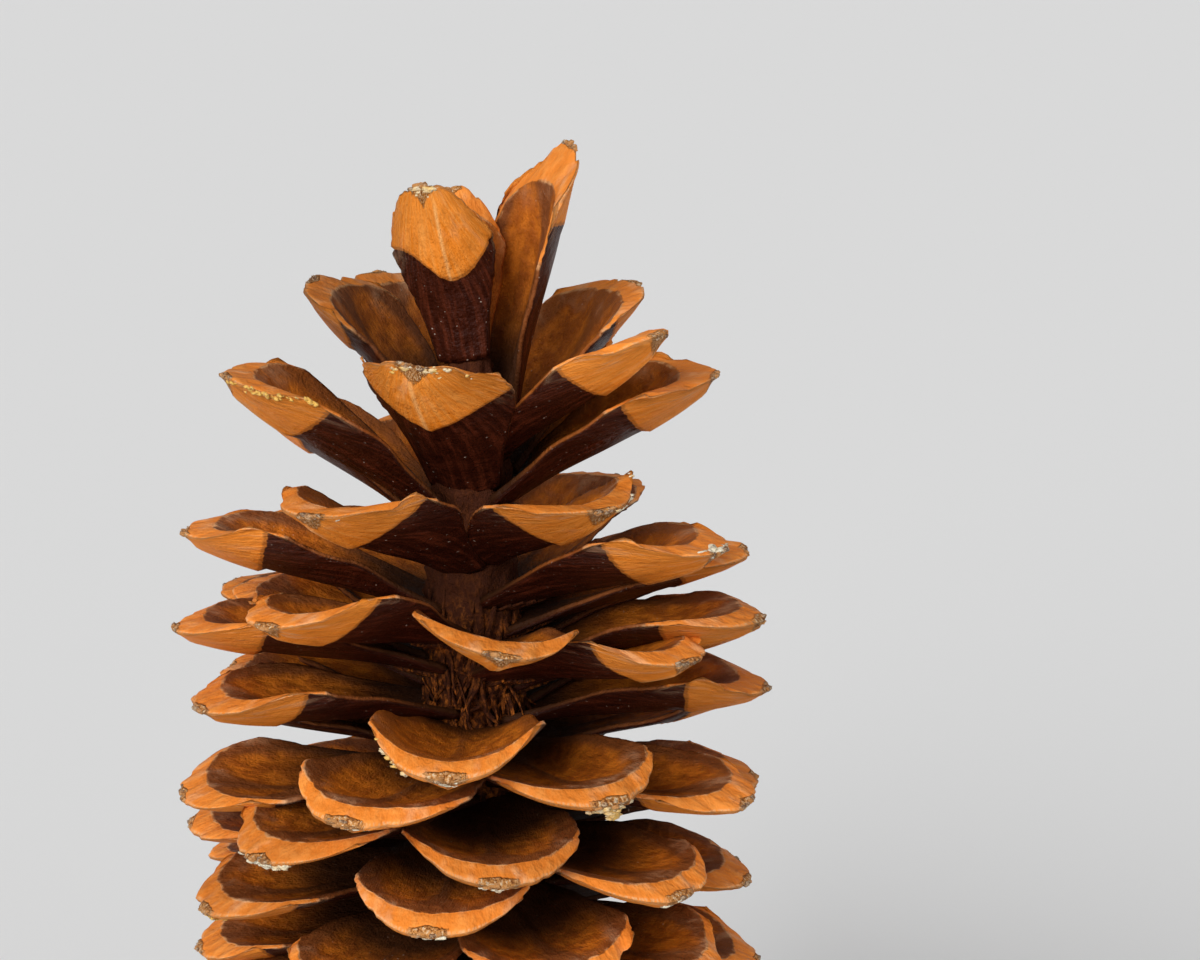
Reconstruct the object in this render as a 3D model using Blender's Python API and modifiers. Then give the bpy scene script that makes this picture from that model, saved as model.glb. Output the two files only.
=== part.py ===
"""Sugar pine cone, open and dry, standing on its lowest scales with its tip up.

It is one woody piece: a tapering core with scales wound round it at the golden
angle. The highest scales stand nearly upright, those below lean out, the middle
ones lie level and the lowest ones bend down and carry the cone.

Metres, +Z up. The origin is the middle of the flat end of the broken stalk,
which is on the ground, under the cone's axis. -Y is the front.
"""

import math
import random
from collections import namedtuple

import bmesh
import bpy
from mathutils import Matrix, Vector

MM = 0.001

# The spiral: each scale is turned by the golden angle from the one above it
GOLDEN_ANGLE = 137.508
FIRST_AZIMUTH = 99.8
SCALE_COUNT = 128

# One scale. Azimuth 0 faces the front and grows towards +X, tilt is above level,
# and roll is about the scale's own length. Length runs from the cone's axis, or
# from the distance out of it, to the tip. Millimetres and degrees.
Scale = namedtuple("Scale", "azimuth root tilt length width cup roll out")

# How the scales change down the spiral
# scale number: root height, tilt, length, width, depth of the cup
GROWTH = {
    3: (192, 47, 45, 26, 5.0),
    7: (187, 42, 48, 28, 5.5),
    10: (182, 36, 50, 29, 5.5),
    14: (171, 25, 52, 29, 5.0),
    18: (162, 18, 53, 29, 4.5),
    24: (156, 15, 54, 29, 4.5),
    34: (148, 12, 55, 30, 4.0),
    43: (139, 8, 55, 31, 4.5),
    51: (130, 4, 55, 31, 4.5),
    60: (119, 0, 55, 31, 4.0),
    76: (98, -4, 54, 31, 4.0),
    100: (60, -9, 53, 30, 4.0),
    115: (35, -16, 50, 28, 3.0),
    122: (23, -22, 45, 25, 2.5),
    127: (15, -22, 42, 23, 2.5),
}

# The three highest scales are closed round the tip
TIP_SCALES = {
    0: Scale(108, 192, 77, 60, 23, 3.5, 16, 4),
    1: Scale(-54, 207, 76, 38, 19, 3.5, 40, 0),
    2: Scale(-150, 206, 79, 36, 17, 3.0, 0, 0),
}

# Scales that stray from the spiral, as on the real cone
# scale number: turn, lift, change of tilt, how much longer, roll
STRAYS = {
    3: (12, -1, -10, 4, 0),
    4: (-14, 3, 2, -3, 0),
    5: (-14, 0, 0, 1, 0),
    6: (-9, -4, 2, 0, 0),
    7: (-5, 3, 0, 0, 0),
    8: (0, -3, -7, 4, 0),
    9: (-10, -5, -1, 7, 0),
    10: (-13, 4, 0, 0, 0),
    11: (9, -7, -7, -6, 0),
    13: (0, 9, 0, -11, 0),
    14: (-8, 0, 0, 0, 0),
    16: (2, -2, -2, 1, 0),
    17: (-6, -2, 0, 3, 0),
    19: (1, -4, -2, 0, -10),
    22: (3, 0, 0, -1, 0),
    24: (9, -5, 0, 0, 0),
    25: (-15, -2, -2, -5, 0),
    29: (0, 2, 0, 2, 0),
    30: (-10, 1, 0, 2, 0),
    34: (-8, 0, 1, 0, 0),
    38: (-16, -3, 0, -6, 0),
    40: (-2, -1, 0, 0, -3),
    42: (2, 2, 0, 2, 0),
    43: (-8, 5, 2, 0, 0),
    45: (-4, 0, 0, 0, 0),
    48: (2, 2, 0, 0, 0),
    53: (-5, 0, 0, 0, 3),
    54: (-4, -6, 0, 0, 0),
    56: (0, 5, 0, 0, 0),
    61: (2, 4, 0, 0, 0),
    63: (0, 1, 0, -2, 0),
}

# Scales broken away at the root, where the real cone shows its core
BROKEN_AWAY = (27, 32, 35, 37)

# Small differences between neighbouring scales: the most that each is off, in
# degrees and millimetres
RANDOM_SEED = 41
TURN_SPREAD = 3.0
TILT_SPREAD = 2.0
ROLL_SPREAD = 5.0
LENGTH_SPREAD = 1.5

# The lowest scales reach the ground and are worn flat there
GROUND_SCALES = 5
GROUND_BITE = 0.6
GROUND_BLOCK = 300.0

# Sections along one scale, from inside the core to the tip, as shares of the
# scale's length, half width and cup depth, and in millimetres
# along, half width, cup, sag of the midline, thickness in the middle, at the edge
SECTIONS = (
    (0.12, 0.30, 0.10, 0.0, 3.0, 2.0),
    (0.32, 0.48, 0.40, -0.5, 2.2, 1.2),
    (0.56, 0.90, 0.90, -1.0, 2.5, 1.0),
    (0.78, 1.00, 1.00, -1.2, 2.7, 0.9),
    (0.93, 0.80, 0.85, -1.0, 2.0, 0.9),
    (1.00, 0.38, 0.50, -1.2, 1.3, 0.9),
)

# The core with the stub of the stalk, as radius and height, from the top down
CORE_PROFILE = (
    (0.0, 213),
    (3.5, 211),
    (6.5, 202),
    (8.0, 180),
    (9.0, 155),
    (9.5, 60),
    (10.0, 22),
    (7.0, 12),
    (6.5, 0),
    (0.0, 0),
)
CORE_SIDES = 12
MERGE_DISTANCE = 0.00001

WOOD_COLOUR = (0.42, 0.16, 0.045, 1.0)
WOOD_ROUGHNESS = 0.55


def clear_scene():
    """Remove what the file already holds."""
    for obj in list(bpy.data.objects):
        bpy.data.objects.remove(obj, do_unlink=True)


def new_collection(name):
    """Return a new collection in the scene."""
    collection = bpy.data.collections.new(name)
    bpy.context.scene.collection.children.link(collection)
    return collection


def wood_material():
    """Return the dry orange-brown wood of the scales."""
    material = bpy.data.materials.new("scale_wood")
    material.use_nodes = True
    shader = material.node_tree.nodes["Principled BSDF"]
    shader.inputs["Base Color"].default_value = WOOD_COLOUR
    shader.inputs["Roughness"].default_value = WOOD_ROUGHNESS
    shader.inputs["Metallic"].default_value = 0.0
    return material


def growth_at(number):
    """Return root height, tilt, length, width and cup of a scale, between the rows of GROWTH."""
    below = max(row for row in GROWTH if row <= number)
    above = min(row for row in GROWTH if row >= number)
    if below == above:
        return GROWTH[below]
    share = (number - below) / (above - below)
    return [a + (b - a) * share for a, b in zip(GROWTH[below], GROWTH[above])]


def place_scale(number, draw):
    """Return where one scale grows and how large it is.

    The random draws are made for every scale in turn, so that leaving one out
    or moving one doesn't change the others.
    """
    turn = draw.uniform(-TURN_SPREAD, TURN_SPREAD)
    lift = 0.0
    more_tilt = draw.uniform(-TILT_SPREAD, TILT_SPREAD)
    longer = draw.uniform(-LENGTH_SPREAD, LENGTH_SPREAD)
    roll = draw.uniform(-ROLL_SPREAD, ROLL_SPREAD)
    if number in TIP_SCALES:
        return TIP_SCALES[number]
    if number in STRAYS:
        turn, lift, more_tilt, longer, roll = STRAYS[number]
    root, tilt, length, width, cup = growth_at(number)
    azimuth = FIRST_AZIMUTH - GOLDEN_ANGLE * number + turn
    root += lift
    tilt += more_tilt
    length += longer
    if number >= SCALE_COUNT - GROUND_SCALES:
        tilt = -math.degrees(math.asin((root + GROUND_BITE) / length))
        roll = 0.0
    return Scale(azimuth, root, tilt, length, width, cup, roll, 0.0)


def scale_matrix(scale):
    """Return the matrix that takes a scale lying along +X, cup up, to its place on the core."""
    # +X is at azimuth 90
    heading = Matrix.Rotation(math.radians(scale.azimuth - 90.0), 4, "Z")
    root = Matrix.Translation((scale.out * MM, 0.0, scale.root * MM))
    lean = Matrix.Rotation(-math.radians(scale.tilt), 4, "Y")
    twist = Matrix.Rotation(math.radians(scale.roll), 4, "X")
    return heading @ root @ lean @ twist


def add_scale(name, scale, collection):
    """Loft one scale through its sections and put it on the core."""
    mesh = bmesh.new()
    loops = []
    for along, half, cupped, sag, thick, edge in SECTIONS:
        x = along * scale.length
        y = half * scale.width / 2.0
        rise = sag + cupped * scale.cup
        # Round the section: left edge, middle and right edge on top, then back underneath
        outline = (
            (x, y, rise),
            (x, 0.0, sag),
            (x, -y, rise),
            (x, -y, rise - edge),
            (x, 0.0, sag - thick),
            (x, y, rise - edge),
        )
        loops.append([mesh.verts.new(Vector(point) * MM) for point in outline])
    for loop, following in zip(loops, loops[1:]):
        for i in range(len(loop)):
            j = (i + 1) % len(loop)
            mesh.faces.new((loop[i], loop[j], following[j], following[i]))
    # The two ends are closed, each with its face turned outwards
    for cap in (loops[0][::-1], loops[-1]):
        first, second, third, fourth, fifth, sixth = cap
        mesh.faces.new((first, second, fifth, sixth))
        mesh.faces.new((second, third, fourth, fifth))
    bmesh.ops.triangulate(mesh, faces=mesh.faces[:])
    mesh.transform(scale_matrix(scale))
    data = bpy.data.meshes.new(name)
    mesh.to_mesh(data)
    mesh.free()
    collection.objects.link(bpy.data.objects.new(name, data))


def add_core(collection):
    """Turn the core and the stub of the stalk from their profile."""
    data = bpy.data.meshes.new("cone")
    points = [(radius * MM, 0.0, height * MM) for radius, height in CORE_PROFILE]
    data.from_pydata(points, [(i, i + 1) for i in range(len(points) - 1)], [])
    core = bpy.data.objects.new("cone", data)
    collection.objects.link(core)
    turn = core.modifiers.new("turn", "SCREW")
    turn.axis = "Z"
    turn.steps = CORE_SIDES
    turn.render_steps = CORE_SIDES
    turn.use_merge_vertices = True
    turn.merge_threshold = MERGE_DISTANCE
    turn.use_normal_calculate = True
    return core


def add_ground(collection):
    """Make the block under the ground that cuts the lowest tips flat."""
    bpy.ops.mesh.primitive_cube_add(size=GROUND_BLOCK * MM, location=(0.0, 0.0, -GROUND_BLOCK * MM / 2.0))
    ground = bpy.context.object
    ground.name = "ground"
    for old in ground.users_collection:
        old.objects.unlink(ground)
    collection.objects.link(ground)
    ground.hide_render = True
    ground.display_type = "WIRE"
    return ground


def apply_modifiers(obj):
    """Replace an object's mesh by what its modifiers make of it."""
    depsgraph = bpy.context.evaluated_depsgraph_get()
    mesh = bpy.data.meshes.new_from_object(obj.evaluated_get(depsgraph))
    obj.modifiers.clear()
    obj.data = mesh


def remove_collection(collection):
    """Remove a collection with the objects in it."""
    for obj in list(collection.objects):
        bpy.data.objects.remove(obj, do_unlink=True)
    bpy.data.collections.remove(collection)


def build():
    """Build the cone."""
    clear_scene()
    parts = new_collection("sugar_pine_cone")
    scales = new_collection("scales")
    cutters = new_collection("cutters")

    draw = random.Random(RANDOM_SEED)
    for number in range(SCALE_COUNT):
        scale = place_scale(number, draw)
        if number not in BROKEN_AWAY:
            add_scale(f"scale_{number}", scale, scales)

    cone = add_core(parts)
    apply_modifiers(cone)
    join = cone.modifiers.new("join", "BOOLEAN")
    join.operation = "UNION"
    join.operand_type = "COLLECTION"
    join.collection = scales
    join.solver = "MANIFOLD"
    apply_modifiers(cone)
    remove_collection(scales)

    cut = cone.modifiers.new("flats", "BOOLEAN")
    cut.operation = "DIFFERENCE"
    cut.object = add_ground(cutters)
    cut.solver = "MANIFOLD"
    apply_modifiers(cone)
    remove_collection(cutters)

    cone.data.materials.clear()
    cone.data.materials.append(wood_material())
    cone.data.name = "cone"


build()
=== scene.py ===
# %% [markdown]
# Sugar pine cone, dressed for its picture.
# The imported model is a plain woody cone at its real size: a core with 124 scales
# wound round it. It stays the frame here, and every piece below is made in metres
# at the same place, so that nothing has to be fitted afterwards.

# %% Open the frame
import math
import random
from collections import namedtuple

import bpy
import numpy as np
from mathutils import Matrix, Vector


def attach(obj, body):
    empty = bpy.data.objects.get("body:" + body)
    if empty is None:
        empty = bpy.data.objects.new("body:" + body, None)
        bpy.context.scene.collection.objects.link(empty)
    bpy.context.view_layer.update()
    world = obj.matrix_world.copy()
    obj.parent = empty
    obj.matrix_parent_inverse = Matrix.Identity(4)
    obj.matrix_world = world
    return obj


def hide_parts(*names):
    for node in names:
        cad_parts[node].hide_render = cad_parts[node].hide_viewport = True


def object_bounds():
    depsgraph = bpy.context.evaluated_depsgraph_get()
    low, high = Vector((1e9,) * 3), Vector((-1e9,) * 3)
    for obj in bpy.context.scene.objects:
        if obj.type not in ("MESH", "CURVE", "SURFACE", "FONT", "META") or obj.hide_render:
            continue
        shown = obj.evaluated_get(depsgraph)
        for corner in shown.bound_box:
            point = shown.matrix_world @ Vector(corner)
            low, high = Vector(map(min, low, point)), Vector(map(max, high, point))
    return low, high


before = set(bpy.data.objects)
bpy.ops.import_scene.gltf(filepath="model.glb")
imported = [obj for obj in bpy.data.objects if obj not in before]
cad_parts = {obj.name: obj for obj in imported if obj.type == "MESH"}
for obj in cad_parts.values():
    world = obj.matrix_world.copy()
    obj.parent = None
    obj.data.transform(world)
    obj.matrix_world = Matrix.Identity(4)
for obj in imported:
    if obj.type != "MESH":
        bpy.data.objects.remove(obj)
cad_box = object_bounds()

MM = 0.001
low, high = (np.array(corner) / MM for corner in cad_box)
print("cone, mm:", (high - low).round(1))

# %% [markdown]
# A cone grows one scale after another, each turned by the golden angle from the
# last. So one rule places them all: which way a scale faces, how high its root
# is, how far it leans and how large it is. The rule and its few listed strays
# are the ones that the frame was built with, which keeps the fine scales on the
# plain ones.

# %% The spiral
GOLDEN_ANGLE = 137.508
FIRST_AZIMUTH = 99.8
SCALE_COUNT = 128
Scale = namedtuple("Scale", "number azimuth root tilt length width cup roll out")

# scale number: root height, tilt, length, width, depth of the cup
GROWTH = {
    3: (192, 47, 45, 26, 5.0),
    7: (187, 42, 48, 28, 5.5),
    10: (182, 36, 50, 29, 5.5),
    14: (171, 25, 52, 29, 5.0),
    18: (162, 18, 53, 29, 4.5),
    24: (156, 15, 54, 29, 4.5),
    34: (148, 12, 55, 30, 4.0),
    43: (139, 8, 55, 31, 4.5),
    51: (130, 4, 55, 31, 4.5),
    60: (119, 0, 55, 31, 4.0),
    76: (98, -4, 54, 31, 4.0),
    100: (60, -9, 53, 30, 4.0),
    115: (35, -16, 50, 28, 3.0),
    122: (23, -22, 45, 25, 2.5),
    127: (15, -22, 42, 23, 2.5),
}

# The three highest scales are closed round the tip
TIP_SCALES = {
    0: (108, 192, 77, 60, 23, 3.5, 16, 4),
    1: (-54, 207, 76, 38, 19, 3.5, 40, 0),
    2: (-150, 206, 79, 36, 17, 3.0, 0, 0),
}

# scale number: turn, lift, change of tilt, how much longer, roll
STRAYS = {
    3: (12, -1, -10, 4, 0),
    4: (-14, 3, 2, -3, 0),
    5: (-14, 0, 0, 1, 0),
    6: (-9, -4, 2, 0, 0),
    7: (-5, 3, 0, 0, 0),
    8: (0, -3, -7, 4, 0),
    9: (-10, -5, -1, 7, 0),
    10: (-13, 4, 0, 0, 0),
    11: (9, -7, -7, -6, 0),
    13: (0, 9, 0, -11, 0),
    14: (-8, 0, 0, 0, 0),
    16: (2, -2, -2, 1, 0),
    17: (-6, -2, 0, 3, 0),
    19: (1, -4, -2, 0, -10),
    22: (3, 0, 0, -1, 0),
    24: (9, -5, 0, 0, 0),
    25: (-15, -2, -2, -5, 0),
    29: (0, 2, 0, 2, 0),
    30: (-10, 1, 0, 2, 0),
    34: (-8, 0, 1, 0, 0),
    38: (-16, -3, 0, -6, 0),
    40: (-2, -1, 0, 0, -3),
    42: (2, 2, 0, 2, 0),
    43: (-8, 5, 2, 0, 0),
    45: (-4, 0, 0, 0, 0),
    48: (2, 2, 0, 0, 0),
    53: (-5, 0, 0, 0, 3),
    54: (-4, -6, 0, 0, 0),
    56: (0, 5, 0, 0, 0),
    61: (2, 4, 0, 0, 0),
    63: (0, 1, 0, -2, 0),
}
BROKEN_AWAY = (27, 32, 35, 37)
SPIRAL_SEED = 41
TURN_SPREAD = 3.0
TILT_SPREAD = 2.0
ROLL_SPREAD = 5.0
LENGTH_SPREAD = 1.5
GROUND_SCALES = 5
GROUND_BITE = 0.6


def place_scales():
    """Return every scale of the spiral, from the tip down."""
    draw = random.Random(SPIRAL_SEED)
    rows = np.array([(number, *row) for number, row in GROWTH.items()], float)
    scales = []
    for number in range(SCALE_COUNT):
        turn = draw.uniform(-TURN_SPREAD, TURN_SPREAD)
        more_tilt = draw.uniform(-TILT_SPREAD, TILT_SPREAD)
        longer = draw.uniform(-LENGTH_SPREAD, LENGTH_SPREAD)
        roll = draw.uniform(-ROLL_SPREAD, ROLL_SPREAD)
        lift = 0.0
        if number in TIP_SCALES:
            scales.append(Scale(number, *TIP_SCALES[number]))
            continue
        if number in STRAYS:
            turn, lift, more_tilt, longer, roll = STRAYS[number]
        root, tilt, length, width, cup = (np.interp(number, rows[:, 0], column) for column in rows[:, 1:].T)
        root += lift
        tilt += more_tilt
        length += longer
        if number >= SCALE_COUNT - GROUND_SCALES:
            tilt = -math.degrees(math.asin((root + GROUND_BITE) / length))
            roll = 0.0
        azimuth = FIRST_AZIMUTH - GOLDEN_ANGLE * number + turn
        scales.append(Scale(number, azimuth, root, tilt, length, width, cup, roll, 0.0))
    return scales


def scale_matrix(scale):
    """Return the matrix from a scale lying along +X, inner face up, to its place on the core."""
    heading = Matrix.Rotation(math.radians(scale.azimuth - 90.0), 4, "Z")
    root = Matrix.Translation((scale.out * MM, 0.0, scale.root * MM))
    lean = Matrix.Rotation(-math.radians(scale.tilt), 4, "Y")
    twist = Matrix.Rotation(math.radians(scale.roll), 4, "X")
    deeper = Matrix.Translation((-SET_DEEPER.get(scale.number, 0.0) * MM, 0.0, 0.0))
    return heading @ root @ lean @ twist @ deeper


SET_DEEPER = {}
SPIRAL = place_scales()
GROWN = [scale for scale in SPIRAL if scale.number not in BROKEN_AWAY]
print("scales:", len(GROWN))

# %% [markdown]
# A dried scale is a thin woody shovel: a narrow claw at the core, shoulders that
# widen past the middle, two raised margins and a broad edge with the umbo, the
# small corky knob, in its middle. It could be a cage with subdivision, but what
# makes it a sugar pine scale is measured from its edge: the lip that turns down,
# the two prints of the winged seeds and the thick end of the outer face. So it
# is worked out as a formula of two numbers, s from root to edge and t across.

# %% The shape of one scale
# along, half width, cup, sag of the midline, thickness in the middle, at the margin
STATIONS = np.array((
    (0.12, 0.46, 0.15, 0.0, 3.0, 2.0),
    (0.32, 0.63, 0.50, -0.5, 2.2, 1.3),
    (0.56, 0.93, 0.92, -1.0, 2.5, 1.1),
    (0.72, 1.01, 1.00, -1.2, 2.7, 1.0),
    (0.83, 0.96, 1.00, -1.2, 2.6, 0.9),
    (1.00, 0.60, 0.55, -0.9, 1.9, 0.9),
))
ROOT_SHARE = 0.12
CORNER_SHARE = 0.81
EDGE_BOW = 2.2
LIP_WIDTH = 4.6
LIP_DROP = 0.52
LIP_WRAP = (15.0, 17.0)
RIDGE_RISE = 1.9
WEAR_ALLOWANCE = 0.7
END_DEPTH = 15.5
END_NARROWING = 12.5
KEEL_RISE = 0.5
UMBO_HALF_WIDTH = 0.22
UMBO_ABOVE = 0.95
UMBO_BELOW = 2.9


def along_blade(column, share):
    """Return a column of STATIONS at a share of the length, on a smooth curve."""
    knots, values = STATIONS[:, 0], STATIONS[:, column]
    slopes = np.gradient(values, knots)
    share = np.clip(share, knots[0], knots[-1])
    i = np.clip(np.searchsorted(knots, share) - 1, 0, len(knots) - 2)
    span = knots[i + 1] - knots[i]
    f = (share - knots[i]) / span
    return (
        values[i] * (1 + 2 * f) * (1 - f) ** 2
        + values[i + 1] * f * f * (3 - 2 * f)
        + span * slopes[i] * f * (1 - f) ** 2
        - span * slopes[i + 1] * f * f * (1 - f)
    )


def ramp(start, end, value):
    """Return 0 before start and 1 after end, with a smooth step between them."""
    f = np.clip((value - start) / (end - start), 0.0, 1.0)
    return f * f * (3 - 2 * f)


# How scales that show well differ: margins at t = 1 and -1, twist, keel, end further back, lip, bend
OWN_HABITS = {
    0: (1.3, 2.4, 4, 0.1, 0.0, 1.5, 0.0),
    1: (1.0, 1.1, -3, 0.25, 1.5, 1.0, 0.0),
    6: (1.1, 1.3, 0, -0.05, 2.0, 1.0, 0.0),
    8: (1.5, 1.0, 0, 0.0, 1.0, 1.2, 0.0),
    9: (1.0, 1.5, 0, 0.0, 1.0, 1.0, 0.0),
    11: (1.4, 1.1, -4, 0.1, 0.0, 1.0, 0.0),
    14: (1.7, 1.3, 5, -0.1, 0.0, 1.0, 0.0),
    16: (1.2, 1.6, -3, 0.0, 1.0, 1.1, 0.0),
    17: (1.75, 1.1, 4, 0.0, 0.0, 1.0, 0.0),
    19: (1.4, 1.0, -5, 0.05, 0.0, 1.0, 0.0),
    22: (1.8, 1.0, 8, -0.1, 0.0, 1.0, 0.0),
    24: (1.1, 1.7, -3, 0.0, -3.0, 1.0, 0.0),
    30: (1.5, 1.0, 3, 0.0, 0.0, 1.0, 0.0),
    34: (1.1, 1.5, -3, 0.0, 0.0, 1.0, 0.0),
    40: (1.9, 1.5, 2, 0.0, 0.0, 0.72, 0.0),
    42: (1.0, 1.75, -4, 0.0, 0.0, 1.0, 0.0),
    43: (1.55, 1.0, 3, 0.0, 0.0, 1.0, 0.0),
    45: (1.2, 0.9, 3, 0.1, 0.0, 0.7, 0.0),
    48: (0.8, 1.2, -3, 0.0, 0.0, 0.7, -3.0),
    53: (0.85, 1.3, -8, 0.0, 0.0, 0.72, 0.0),
    61: (1.0, 0.9, -2, 0.0, 0.0, 0.72, 0.0),
}


# Scales whose whole colour is darkened by a low tone: painted shade
SHADED_SCALES = (4, 7)
PAINTED_SHADE_TONE = -0.9
# How pale each inner face is, partly painted shade: lower values paint more shade out from the root, higher ones paint
# open scales lighter
OWN_PALE_AND_SHADE = {0: 0.0, 4: -0.3, 7: -0.3, 17: -0.1, 30: -0.3, 40: 0.6}


def how_pale_and_shaded(number):
    """Return how pale a scale's inner face is, partly as painted shade: the lower it is, the darker the band and the
    further painted shade reaches out from the root.
    """
    return OWN_PALE_AND_SHADE.get(number, np.interp(number, (2, 3, 12, 20, 40, 45, 53), (0.7, 0.35, 0.3, 0.05, 0.0, 0.0, -1.0)))



class Habit:
    """What makes one scale differ from the next: its warp, waves and nibbled margins."""

    def __init__(self, number):
        draw = np.random.RandomState(700 + number)
        self.twist = draw.uniform(-7.0, 7.0)
        self.bend = draw.uniform(-1.5, 1.5)
        self.left, self.right = draw.uniform(0.8, 1.2, 2)
        self.wave = draw.uniform(0.3, 0.9, 2)
        self.phase = draw.uniform(0.0, 2 * math.pi, 4)
        self.end_shift = draw.uniform(-1.5, 1.5)
        self.keel = draw.uniform(-0.16, 0.16)
        self.lip = draw.uniform(0.65, 1.0)
        # A random tone, but on the shaded scales a tone far below it that paints shade over the whole scale
        self.tone = draw.uniform(0.0, 1.0) if number not in SHADED_SCALES else PAINTED_SHADE_TONE
        if number in OWN_HABITS:
            self.left, self.right, self.twist, self.keel, self.end_shift, self.lip, self.bend = OWN_HABITS[number]
        self.teeth = draw.uniform(0.0, 1.0, (3, 61)) ** 2.2
        self.chips = [
            (draw.choice((-1, 1)) * draw.uniform(0.25, 0.9), draw.uniform(0.03, 0.10), draw.uniform(0.3, 1.4))
            for _ in range(4)
        ]
        self.steps = draw.uniform(-0.9, 0.9, 9)
        self.corner = draw.uniform(-1.3, 0.4, 2)


def beyond_lip(habit, s, t, from_edge):
    """Return how far a point is behind the border of the turned-down lip, which wraps round both corners, in mm."""
    from_margin = LIP_WRAP[0] * (1 - np.abs(t)) + LIP_WRAP[1] * (1 - s)
    gap = from_edge - from_margin
    nearest = (from_edge + from_margin - np.sqrt(gap ** 2 + 2.0)) / 2
    return nearest - LIP_WIDTH * habit.lip * (1 - 0.45 * np.abs(t) ** 2)


def end_border(habit, t):
    """Return how far from the edge the thick end of the outer face goes, in mm."""
    return END_DEPTH + habit.end_shift - END_NARROWING * np.abs(t - habit.keel * (1 - t * t)) ** 2.0


def blade(scale, habit, s, t):
    """Return the inner and outer faces of a scale at s and t, and how far each point is from its edge, in mm."""
    s, t = np.broadcast_arrays(np.asarray(s, float), np.asarray(t, float))
    side = np.abs(t)
    span = (1 - ROOT_SHARE) - (1 - CORNER_SHARE) * side ** EDGE_BOW
    along = ROOT_SHARE + span * s
    from_edge = (1 - s) * span * scale.length
    margin = ROOT_SHARE + (CORNER_SHARE - ROOT_SHARE) * s
    half = along_blade(1, margin) * scale.width / 2

    # Teeth along the margins, chips along the edge
    stops = np.linspace(0, 1, 61)
    tooth = np.where(t > 0, np.interp(s, stops, habit.teeth[0]), np.interp(s, stops, habit.teeth[1]))
    half = half - 0.7 * tooth * side ** 6 * ramp(0.25, 0.6, s)
    worn = 0.6 * np.interp(t, np.linspace(-1, 1, 61), habit.teeth[2])
    for place, spread, depth in habit.chips:
        worn = worn + depth * np.exp(-((t - place) / spread) ** 2)
    worn = worn + np.interp(t, np.linspace(-1, 1, 9), habit.steps)
    x = along * scale.length + (WEAR_ALLOWANCE - np.maximum(worn, 0.0)) * ramp(0.85, 1.0, s)
    half = half + np.where(t > 0, *habit.corner) * side ** 8 * ramp(0.90, 1.0, s)
    y = t * half

    lean = np.where(t > 0, habit.left, habit.right)
    rise = along_blade(2, along) * scale.cup * lean * (0.3 * side + 0.7 * side ** 2.3)
    wave = habit.wave[0] * np.sin(7 * s + habit.phase[1]) + habit.wave[1] * np.sin(13 * s + habit.phase[2]) * 0.5
    rise = rise + wave * side ** 2 * np.where(t > 0, 1.0, -0.7) * ramp(0.2, 0.6, s)
    base = along_blade(3, along) + rise

    # Inner face: the prints of the winged seeds, a rib between them, the ridge, and the lip that turns down from it
    over = -beyond_lip(habit, s, t, from_edge)
    lip = LIP_DROP * 0.5 * (over + np.sqrt(over ** 2 + 0.5))
    print_form = ((s - 0.50) / 0.34) ** 2 + ((side - 0.45) / 0.40) ** 2
    inner = base + RIDGE_RISE * (1 - side ** 2) * ramp(19.0, 5.0, from_edge) - lip
    inner = inner - 0.45 * ramp(1.2, 0.7, print_form)
    inner = inner + 0.3 * np.exp(-(t / 0.07) ** 2) * ramp(0.85, 0.55, s)
    inner = inner + 0.22 * np.exp(-(over / 0.6) ** 2)

    # Outer face: a keel along the middle, and the thick end that showed while the cone was closed
    off_keel = np.abs(t - habit.keel * ramp(0.4, 0.8, s) * (1 - t * t))
    thick = along_blade(5, along) + (along_blade(4, along) - along_blade(5, along)) * (1 - off_keel)
    end = end_border(habit, t)
    on_end = ramp(0.5, -0.5, from_edge - end) * ramp(0.0, 4.0, from_edge)
    thick = thick + on_end * (0.4 * (1 - side ** 4) + KEEL_RISE * np.exp(-(off_keel / 0.11) ** 2))
    outer = base - thick

    # The umbo: a shallow hollow in the middle of the edge, small on the inner face and deeper on the outer one
    inner = inner - 0.25 * ramp(1.2, 0.5, side / UMBO_HALF_WIDTH + from_edge / UMBO_ABOVE)
    outer = outer + 0.35 * ramp(1.2, 0.5, side / UMBO_HALF_WIDTH + from_edge / UMBO_BELOW)

    # The warp of the whole blade
    turn = np.radians(habit.twist) * (along - 0.45)
    y = y + habit.bend * along ** 2
    faces = []
    for z in (inner, outer):
        faces.append(np.stack((x, y * np.cos(turn) - z * np.sin(turn), y * np.sin(turn) + z * np.cos(turn)), -1))
    return faces[0], faces[1], from_edge


HABITS = {scale.number: Habit(scale.number) for scale in SPIRAL}
ROOM_FOR_CRUMBS = 0.9


def how_much_deeper(scale):
    """Return how much deeper a scale must sit for its worn edge to stay in the plain cone's box, in mm."""
    inner, outer, _ = blade(scale, HABITS[scale.number], np.linspace(0.7, 1, 8)[:, None], np.linspace(-1, 1, 21))
    matrix = np.array(scale_matrix(scale))
    most = 0.0
    for axis in range(3):
        for sign, limit in ((-1, cad_box[0][axis]), (1, cad_box[1][axis])):
            # The ground wears only the outer face, so there the inner face alone has to stay in the box
            on_ground = axis == 2 and sign < 0
            edge = inner if on_ground else np.concatenate((inner, outer))
            world = (edge.reshape(-1, 3) * MM) @ matrix[:3, :3].T + matrix[:3, 3]
            over = (sign * world[:, axis]).max() / MM - sign * limit / MM + (not on_ground) * ROOM_FOR_CRUMBS
            towards = sign * matrix[axis, 0]
            if towards > 0.3 and over > 0:
                most = max(most, over / towards)
    return most


SET_DEEPER.update({scale.number: how_much_deeper(scale) for scale in GROWN})
print("scales set deeper, mm:", {number: round(by, 1) for number, by in SET_DEEPER.items() if by})
sample_inner, sample_outer, _ = blade(GROWN[40], HABITS[GROWN[40].number], np.linspace(0, 1, 5), 0.0)
print("midline thickness from root to edge, mm:", (sample_inner - sample_outer)[:, 2].round(1))

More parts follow.
